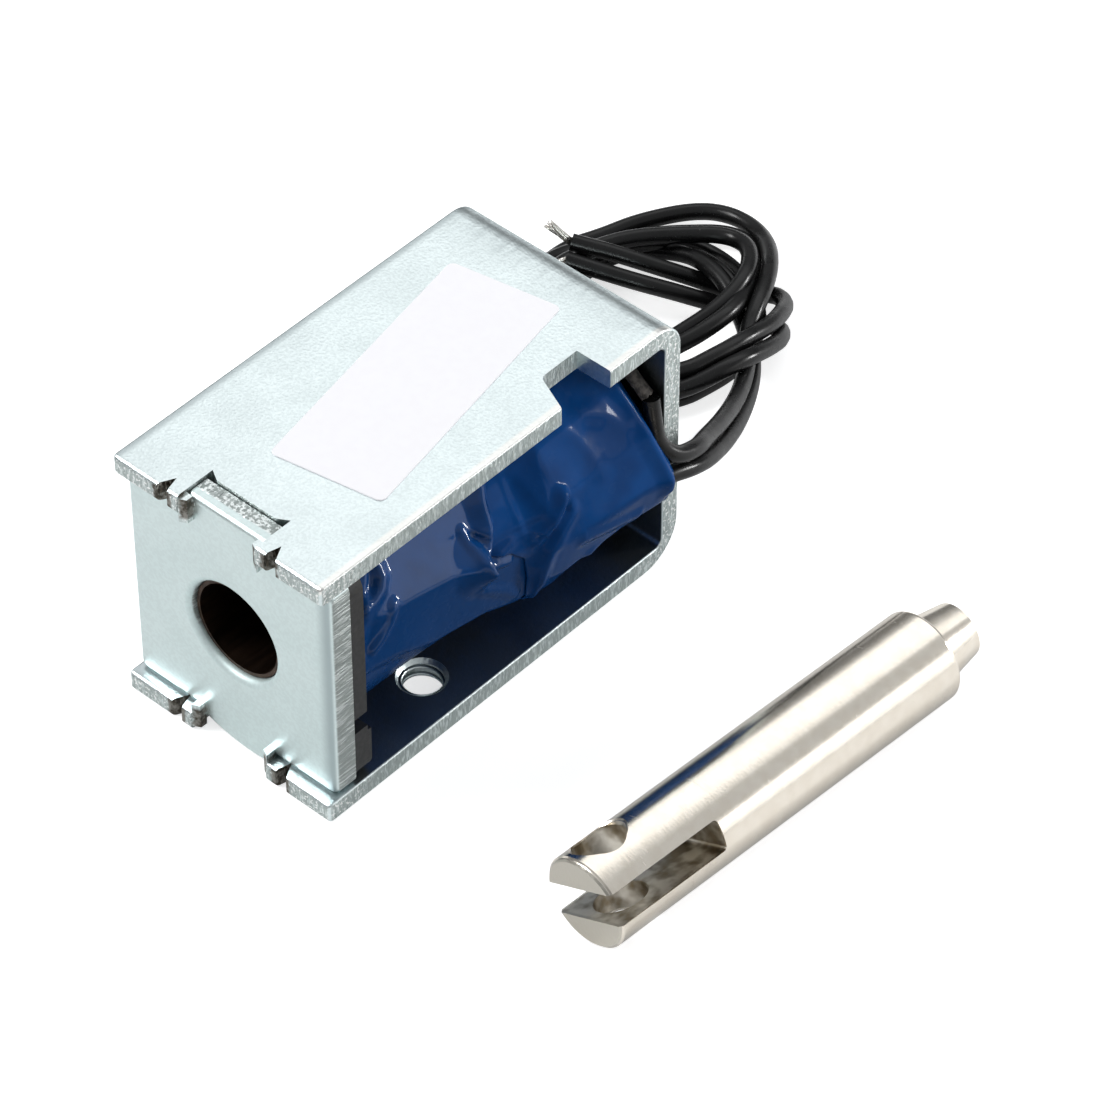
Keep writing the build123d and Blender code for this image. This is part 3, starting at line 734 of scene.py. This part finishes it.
def makeRubMarks():
    # thin scratches in two directions, broken up so that few are whole
    group, places, amount, end = newGroup("rubMarks", "Amount", 0.3, "Marks")
    lines = []
    for angle, grain in ((0.5, (0.25, 6.0, 1.0)), (-0.8, (0.2, 5.0, 1.0))):
        turned = addNode(group, "ShaderNodeMapping", Vector=places, Rotation=(0, 0, angle), Scale=grain)
        lines.append(noiseMask(group, turned.outputs[0], 1.3, 1.0, 0.68, 0.74))
    patch = noiseMask(group, places, 0.35, 1.0, 0.5, 0.65)
    setInputs(group, end, Marks=times(group, strongest(group, *lines), patch, amount))
    return group


def makeDustSpecks():
    # small dots, many in some places and none in others
    group, places, scale, end = newGroup("dustSpecks", "Speck Scale", 1.5, "Specks")
    cells = addNode(group, "ShaderNodeTexVoronoi", Vector=places, Scale=scale)
    dots = stretch(group, cells.outputs["Distance"], 0.03, 0.09, 1.0, 0.0)
    setInputs(group, end, Specks=times(group, dots, noiseMask(group, places, 0.6, 1.0, 0.55, 0.62)))
    return group


def makeShearLines():
    # burr lines that run through the sheet's thickness on a cut edge, and torn grain beside them
    group, places, scale, end = newGroup("shearLines", "Line Scale", 4.0, "Height", "Tone")
    lines = noiseMask(group, places, scale, 2.0, 0.35, 0.65)
    torn = noiseMask(group, places, 2.6, 4.0, 0.4, 0.6)
    setInputs(group, end, Height=plus(group, lines, times(group, torn, 0.8)),
              Tone=times(group, lines, torn))
    return group


platePebble = makePlatePebble()
rubMarks = makeRubMarks()
dustSpecks = makeDustSpecks()
shearLines = makeShearLines()


def placeGroup(tree, group, vector, **values):
    return addNode(tree, "ShaderNodeGroup", node_tree=group, Vector=vector, **values).outputs


# plated steel: soft pebble on the rolled faces with painted shade in its hollows, torn and striped where it
# was sheared, darker where it was staked; painted highlight and painted shade on the top's edges, painted
# shade on the plate's right edge and the faces turned to the coil
steel = {
    "boreHeight": 11.6,
    "frame": {
        "colour": (0.80, 0.885, 0.89), "clouds": (0.785, 0.87, 0.875), "pebbleHollowShade": (0.36, 0.42, 0.42),
        "cut": (0.78, 0.85, 0.84), "cutDark": (0.46, 0.52, 0.51), "burr": (0.97, 0.99, 0.98),
        # painted light in these tones: a highlight along the open edge of the top, shade on the closed edge
        # in the bend's tone, and shade on the faces turned to the coil
        "lipHighlight": (0.90, 0.905, 0.875), "bendGrainAndLipShade": (0.46, 0.52, 0.53), "inside": (0.30, 0.34, 0.36),
        "smooth": 0.31, "dull": 0.35,
        "pebble": 0.55, "pebbleScale": 4.6,
        "grain": ((1.6, 1.6, 0.35), (0.25, 0, 0)), "lineScale": 4.6,
        "burrSpots": (3.6, 2.0, 0.54, 0.62),
        # pulled streaks before the bend, and coarse grain where the sheet goes over
        "streakGrain": (0.9, 0.16, 0.16), "streakScale": 1.6, "streaks": (0.45, 0.18),
        "bendSpots": (3.0, 3.0, 0.42, 0.58, 0.85, 0.0),
    },
    "plate": {
        "colour": (0.74, 0.85, 0.845), "clouds": (0.72, 0.83, 0.825), "pebbleHollowShade": (0.50, 0.57, 0.565),
        "cut": (0.70, 0.75, 0.74), "cutDark": (0.36, 0.40, 0.39), "burr": (0.90, 0.95, 0.94),
        # painted shade for the plate's face where it rolls round to its right side
        "rolled": (0.42, 0.50, 0.51),
        "smooth": 0.36, "dull": 0.41,
        "pebble": 0.16, "pebbleScale": 3.4,
        "grain": ((1.0, 0.30, 2.4), (0.30, 0, 0)), "lineScale": 1.7,
        "burrSpots": (3.6, 2.0, 0.48, 0.58),
        "boreRim": (5.0, 4.5),
    },
    "stake": (0.27, 0.26, 0.235), "gouge": (0.08, 0.07, 0.055), "gougeSpots": (1.8, 3.0, 0.40, 0.60),
    # the pebble's low spots take up to this share of the darker tone: painted shade in its hollows
    "pebbleHollowShadeSpan": (0.38, 0.62, 0.16, 0.0),
    "cutRough": 0.46, "wornRough": 0.62,
    "torn": 0.75, "relief": 0.05,
    # plan of a chisel mark from the middle of the gap: side, front, reach
    "marks": [(5.15, -18.1, 0.95), (3.45, -17.95, 0.50)],
    "markEdge": (0.15, 0.4), "markSpots": 2.5, "markWaver": 0.5,
    "markSheet": (9.3, 9.7),      # up or down from the bore's axis
    # where a finish starts and where it is full, by place in millimetres or by the way a face looks;
    # bars leave out the sign
    "zones": {
        "sideFaces": ("|lookX|", 0.80, 0.97),
        "frontFaces": ("lookY", -0.8, -0.97), "fingerEnds": ("y", -17.7, -17.9),
        "gapFaces": ("|lookY|", 0.80, 0.97),
        "gapFront": ("y", -16.5, -16.2), "gapBack": ("y", -14.6, -14.9),
        "endFaces": ("|lookZ|", 0.80, 0.97), "tabBack": ("y", -16.75, -16.55),
        "nearTop": ("z", 19.5, 21.5), "beforeBend": ("y", 13.8, 16.2), "overBend": ("y", 16.3, 17.6),
        "burrEnds": ("|y|", 13.0, 16.4),
        "topFace": ("z", 22.5, 22.9), "openLipHighlight": ("x", 9.30, 9.62), "closedLipShade": ("x", -9.1, -9.8),
        "plateEdgeShade": ("x", 8.2, 9.5), "plateFront": ("lookY", -0.6, -0.9),
        "uprightFaces": ("|lookZ|", 0.75, 0.5),
        "upFaces": ("lookZ", 0.75, 0.95), "floorFace": ("z", 3.0, 2.2),
        "fingerTops": ("y", -17.3, -16.6, 0.62, 1.0),
        "coilFaces": ("lookY", -0.75, -0.95), "backFace": ("y", 16.0, 16.6),
    },
}


def chiselMarkMask(tree, places, spots):
    # ragged pits where the chisel struck, on the faces between the fingers and the tabs
    found = []
    for side, front, reach in steel["marks"]:
        dx = math2(tree, "SUBTRACT", math2(tree, "ABSOLUTE", spots["x"]), side)
        dy = math2(tree, "SUBTRACT", spots["y"], front)
        waver = times(tree, noiseValue(tree, places, steel["markSpots"]), steel["markWaver"])
        ragged = plus(tree, awayFrom(tree, dx, dy), waver)
        near, far = steel["markEdge"]
        found.append(stretch(tree, ragged, reach + near, reach + far, 1.0, 0.0))
    return strongest(tree, *found)


def steelMaterial(name, look):
    mat, tree, shader = newMaterial(name, Metallic=1.0)
    places = mmPlaces(tree)
    spots = dict(zip(("x", "y", "z"), splitVector(tree, places)))
    spots.update(zip(("lookX", "lookY", "lookZ"), faceDirection(tree)))
    up = math2(tree, "SUBTRACT", spots["z"], steel["boreHeight"])

    def zone(*keys):
        masks = []
        for key in keys:
            measure, *span = steel["zones"][key]
            value = spots[measure.strip("|")]
            if "|" in measure:
                value = math2(tree, "ABSOLUTE", value)
            masks.append(stretch(tree, value, *span))
        return times(tree, *masks)

    lined = placeGroup(tree, shearLines, mmPlaces(tree, *look["grain"]), Line_Scale=look["lineScale"])
    pebble = placeGroup(tree, platePebble, places, Pebble_Scale=look["pebbleScale"])
    face = blendColours(tree, pebble["Tone"], look["colour"], look["clouds"])
    # painted shade: the pebble's low spots are blended towards a darker tone
    face = blendColours(tree, stretch(tree, pebble["Height"], *steel["pebbleHollowShadeSpan"]), face, look["pebbleHollowShade"])
    edge = blendColours(tree, lined["Tone"], look["cutDark"], look["cut"])
    burr = noiseMask(tree, places, *look["burrSpots"])
    if look is steel["frame"]:
        cut = strongest(tree, zone("sideFaces"), zone("frontFaces", "fingerEnds"),
                        zone("gapFaces", "gapFront", "gapBack"))
        pulled = mmPlaces(tree, look["streakGrain"])
        bent = placeGroup(tree, shearLines, pulled, Line_Scale=look["streakScale"])
        strength, least = look["streaks"]
        streaks = plus(tree, times(tree, bent["Tone"], strength), least)
        face = blendColours(tree, times(tree, streaks, zone("beforeBend", "nearTop")), face, look["bendGrainAndLipShade"])
        grain = noiseMask(tree, places, *look["bendSpots"])
        overBend = zone("overBend", "nearTop")
        face = blendColours(tree, times(tree, grain, overBend), face, look["bendGrainAndLipShade"])
        # painted highlight: a pale band along the rolled open edge of the top
        face = blendColours(tree, zone("openLipHighlight", "topFace"), face, look["lipHighlight"])
        # painted shade: the far, closed edge of the top is blended to the darker bend tone
        face = blendColours(tree, zone("closedLipShade", "topFace"), face, look["bendGrainAndLipShade"])
        burr = times(tree, burr, zone("burrEnds"))
        worn = times(tree, overBend, steel["wornRough"])
    else:
        cut = strongest(tree, zone("sideFaces"), zone("endFaces", "tabBack"))
        # painted shade: the front face darkens towards its right edge
        face = blendColours(tree, zone("plateEdgeShade", "plateFront"), face, look["rolled"])
        burr = times(tree, burr, zone("endFaces"))
        worn = stretch(tree, awayFrom(tree, spots["x"], up), *look["boreRim"], 0.0, steel["wornRough"])
    colour = blendColours(tree, cut, face, blendColours(tree, burr, edge, look["burr"]))
    atSheet = stretch(tree, math2(tree, "ABSOLUTE", up), *steel["markSheet"])
    chiselMarks = times(tree, chiselMarkMask(tree, places, spots), zone("uprightFaces"), atSheet)
    gouged = noiseMask(tree, places, *steel["gougeSpots"])
    colour = blendColours(tree, chiselMarks, colour, blendColours(tree, gouged, steel["gouge"], steel["stake"]))
    if look is steel["frame"]:
        # painted shade: the faces turned to the coil are painted duller and darker
        paintedCoilShade = strongest(tree, zone("upFaces", "floorFace", "fingerTops"), zone("coilFaces", "backFace"))
        colour = blendColours(tree, paintedCoilShade, colour, look["inside"])
    rolled = stretch(tree, pebble["Tone"], 0.0, 1.0, look["smooth"], look["dull"])
    rough = strongest(tree, rolled, times(tree, cut, steel["cutRough"]), worn)
    setInputs(tree, shader, Base_Color=colour, Roughness=rough)
    first = addBump(tree, shader, pebble["Height"], look["pebble"], steel["relief"])
    torn = times(tree, lined["Height"], strongest(tree, cut, chiselMarks))
    addBump(tree, shader, torn, steel["torn"], steel["relief"], first)
    return mat


zincSteel = steelMaterial("zincSteel", steel["frame"])
giveMaterial(nodes["u_frame"], zincSteel)
for ridge in threads:
    giveMaterial(ridge, zincSteel)
giveMaterial(nodes["front_plate"], steelMaterial("frontPlateSteel", steel["plate"]))
print("steel finished")

# bright nickel of the plunger: long soft bands from the room, faint lathe rings, cut faces duller; faces
# that look down get painted shade
nickel = {
    "colour": (0.92, 0.855, 0.755), "shade": (0.88, 0.81, 0.705), "clouds": (0.9, 3.0, 0.35, 0.65),
    "paintedUnderShade": (0.60, 0.565, 0.51), "paintedUnderShadeLook": (0.02, -0.45),
    "inside": (0.78, 0.74, 0.66), "stain": (0.27, 0.22, 0.15), "stainSpots": (0.6, 2.5, 0.36, 0.64),
    "end": (0.60, 0.57, 0.50), "endFace": (0.35, 0.15),
    "polish": 0.19, "polishRange": 0.03, "polishSpots": (2.4, 3.0, 0.3, 0.7), "cutRough": 0.30,
    "ringPitch": 5.0, "marks": 0.12,
    # strength and depth
    "ringRelief": (0.06, 0.03), "skinRelief": (0.10, 0.03), "insideRelief": (0.7, 0.05),
    "start": (30.5, -14.7, 3.7), "turn": 3.6,
    "bodyRadius": 3.6, "skin": 0.08,
    "slotEnd": (12.0, 11.0),
}


def nickelMaterial():
    mat, tree, shader = newMaterial("brightNickel", Metallic=1.0)
    turn = math.radians(nickel["turn"])
    x, y, z = nickel["start"]
    # in these places the plunger's own axis runs along Y from the slotted end
    back = (-(x * math.cos(turn) - y * math.sin(turn)), -(x * math.sin(turn) + y * math.cos(turn)), -z)
    own = mmPlaces(tree, rotation=(0, 0, turn), location=back)
    across, along, up = splitVector(tree, own)
    underSkin = stretch(tree, awayFrom(tree, across, up), nickel["bodyRadius"],
                        nickel["bodyRadius"] - nickel["skin"])
    inside = times(tree, underSkin, stretch(tree, along, *nickel["slotEnd"]))
    clouds = noiseMask(tree, own, *nickel["clouds"])
    colour = blendColours(tree, clouds, nickel["colour"], nickel["shade"])
    # painted shade: faces that look down are blended to a darker tone
    paintedUnderShade = stretch(tree, faceDirection(tree)[2], *nickel["paintedUnderShadeLook"])
    colour = blendColours(tree, paintedUnderShade, colour, nickel["paintedUnderShade"])
    stained = noiseMask(tree, own, *nickel["stainSpots"])
    mottled = blendColours(tree, stained, nickel["stain"], nickel["inside"])
    mottled = blendColours(tree, stretch(tree, along, *nickel["endFace"]), mottled, nickel["end"])
    colour = blendColours(tree, inside, colour, mottled)
    marks = placeGroup(tree, rubMarks, own, Amount=nickel["marks"])
    rough = plus(tree, times(tree, inside, nickel["cutRough"] - nickel["polish"]),
                 noiseMask(tree, own, *nickel["polishSpots"], nickel["polish"],
                           nickel["polish"] + nickel["polishRange"]))
    setInputs(tree, shader, Base_Color=colour, Roughness=plus(tree, rough, marks["Marks"]))
    rings = addNode(tree, "ShaderNodeTexNoise", noise_dimensions="1D", W=along, Scale=nickel["ringPitch"],
                    Detail=3.0)
    first = addBump(tree, shader, rings.outputs["Fac"], *nickel["ringRelief"])
    second = addBump(tree, shader, noiseValue(tree, own, 4.0, 3.0), *nickel["skinRelief"], first)
    rugged = times(tree, noiseValue(tree, own, 3.0, 4.0), inside)
    addBump(tree, shader, rugged, *nickel["insideRelief"], second)
    return mat


giveMaterial(nodes["plunger"], nickelMaterial())

# the plainer finishes; plain has what a finish doesn't say itself
plain = {
    "metal": 0.0, "specular": 0.5, "stretched": (1, 1, 1),
    "grain": 3.0, "bump": 0.2, "depth": 0.03,
    # against the grain: how much broader the clouds and the gloss patches are
    "cloudScale": 0.35, "glossScale": 0.6, "glossRange": (-0.04, 0.06),
}
finishes = {
    "blackNylon": {"tones": ((0.011, 0.011, 0.011), (0.016, 0.016, 0.016)), "rough": 0.42, "grain": 5.0,
                   "bump": 0.15, "dustScale": 1.1, "dustRelief": (0.2, 0.04)},
    # the brass tube is painted near black: painted shade of the deep bore over the brass's own brown
    "brassInPaintedShade": {"tones": ((0.075, 0.045, 0.03), (0.04, 0.026, 0.02)), "rough": 0.40, "metal": 1.0,
                  "stretched": (1, 0.15, 1)},
    "turnedIron": {"tones": ((0.36, 0.37, 0.37), (0.28, 0.29, 0.29)), "rough": 0.40, "metal": 1.0,
                   "bump": 0.3},
    "solderGrey": {"tones": ((0.62, 0.62, 0.60), (0.45, 0.45, 0.44)), "rough": 0.3, "metal": 1.0},
    "copperWire": {"tones": ((0.55, 0.19, 0.07), (0.40, 0.13, 0.05)), "rough": 0.3, "metal": 1.0,
                   "wireScale": 1.6, "wireWander": 0.6, "wireRelief": (0.8, 0.1)},
    "blackPvc": {"tones": ((0.004, 0.004, 0.0042), (0.006, 0.006, 0.0062)), "rough": 0.27, "grain": 1.2,
                 "bump": 0.04, "specular": 0.30, "dust": (0.04, 0.04, 0.038), "dustScale": 0.9},
    "labelPaper": {"tones": ((0.88, 0.875, 0.905), (0.87, 0.862, 0.89)), "rough": 0.55, "grain": 4.0,
                   "bump": 0.06},
    "tinnedCopper": {"tones": ((0.74, 0.72, 0.68), (0.60, 0.58, 0.54)), "rough": 0.28, "metal": 1.0},
    "fibreSleeving": {"tones": ((0.10, 0.088, 0.078), (0.03, 0.026, 0.023)), "rough": 0.6, "grain": 7.0,
                      "bump": 1.0, "depth": 0.08},
}


def plainMaterial(name):
    # two close tones, a little unevenness in gloss and a fine grain
    look = {**plain, **finishes[name]}
    grain = look["grain"]
    glossLow, glossHigh = (look["rough"] + change for change in look["glossRange"])
    mat, tree, shader = newMaterial(name, Metallic=look["metal"], Specular_IOR_Level=look["specular"])
    places = mmPlaces(tree, look["stretched"])
    clouds = noiseMask(tree, places, grain * look["cloudScale"], 3.0, 0.35, 0.65)
    colour = blendColours(tree, clouds, *look["tones"])
    gloss = noiseMask(tree, places, grain * look["glossScale"], 2.0, 0.3, 0.7, glossLow, glossHigh)
    relief = addBump(tree, shader, noiseValue(tree, places, grain, 3.0), look["bump"], look["depth"])
    if "dustScale" in look:
        specks = placeGroup(tree, dustSpecks, places, Speck_Scale=look["dustScale"])["Specks"]
        if "dust" in look:
            colour = blendColours(tree, specks, colour, look["dust"])
        else:
            addBump(tree, shader, specks, *look["dustRelief"], relief)
    if "wireScale" in look:
        turns = addNode(tree, "ShaderNodeTexWave", bands_direction="Y", Vector=places,
                        Scale=look["wireScale"], Distortion=look["wireWander"])
        addBump(tree, shader, turns.outputs["Fac"], *look["wireRelief"], relief)
    setInputs(tree, shader, Base_Color=colour, Roughness=gloss)
    return mat


# blue film: a slight gloss over deep blue, with small puckers; the first band has more sheen,
# and both lose it where they turn away from the sky; facets that face down get painted shade
film = {
    # the low tone of each band is painted shade for its facets that face down
    "front": {"colour": (0.003, 0.052, 0.20), "deep": (0.002, 0.038, 0.145), "low": (0.002, 0.034, 0.13),
              "gloss": 0.20, "specular": 0.02, "coat": 0.75, "lowCoat": 0.06},
    "rear": {"colour": (0.004, 0.056, 0.215), "deep": (0.003, 0.038, 0.15), "low": (0.002, 0.038, 0.15),
             "gloss": 0.18, "specular": 0.03, "coat": 0.12, "lowCoat": 0.05},
    "coatRough": 0.09,
    "clouds": (0.22, 2.0, 0.35, 0.65),
    "glossSpots": (0.8, 2.0, 0.3, 0.7), "glossRange": 0.10,
    "downFacetShadeLook": (0.40, 0.12), "coatLook": (0.10, 0.42),    # by how far the film looks up
    "dustScale": 0.8,
    # strength and depth
    "puckers": (0.05, 0.10), "dust": (0.25, 0.03),
}


def filmMaterial(name, look):
    mat, tree, shader = newMaterial(name, Coat_Weight=look["coat"], Coat_Roughness=film["coatRough"],
                                    Specular_IOR_Level=look["specular"])
    places = mmPlaces(tree)
    up = faceDirection(tree)[2]
    tone = blendColours(tree, noiseMask(tree, places, *film["clouds"]), look["colour"], look["deep"])
    # painted shade: facets that face down take the darker low tone
    tone = blendColours(tree, stretch(tree, up, *film["downFacetShadeLook"]), tone, look["low"])
    gloss = noiseMask(tree, places, *film["glossSpots"], look["gloss"], look["gloss"] + film["glossRange"])
    coat = stretch(tree, up, *film["coatLook"], look["lowCoat"], look["coat"])
    setInputs(tree, shader, Base_Color=tone, Roughness=gloss, Coat_Weight=coat)
    puckers = addBump(tree, shader, noiseValue(tree, places, 0.7, 3.0), *film["puckers"])
    dust = placeGroup(tree, dustSpecks, places, Speck_Scale=film["dustScale"])
    addBump(tree, shader, dust["Specks"], *film["dust"], puckers)
    return mat


giveMaterial(frontFilm, filmMaterial("blueFilmFront", film["front"]))
giveMaterial(rearFilm, filmMaterial("blueFilmRear", film["rear"]))
for finish, pieces in (("blackNylon", [nodes["bobbin"]]), ("brassInPaintedShade", [nodes["guide_tube"]]),
                       ("turnedIron", [nodes["stop_core"]]), ("solderGrey", [nodes["solder_joint"]]),
                       ("copperWire", [nodes["coil_winding"]]), ("blackPvc", [outerLead, innerLead]),
                       ("labelPaper", [paperLabel]), ("tinnedCopper", [upperStrands, lowerStrands]),
                       ("fibreSleeving", [wovenSleeve])):
    mat = plainMaterial(finish)
    for piece in pieces:
        giveMaterial(piece, mat)
print("finishes applied")
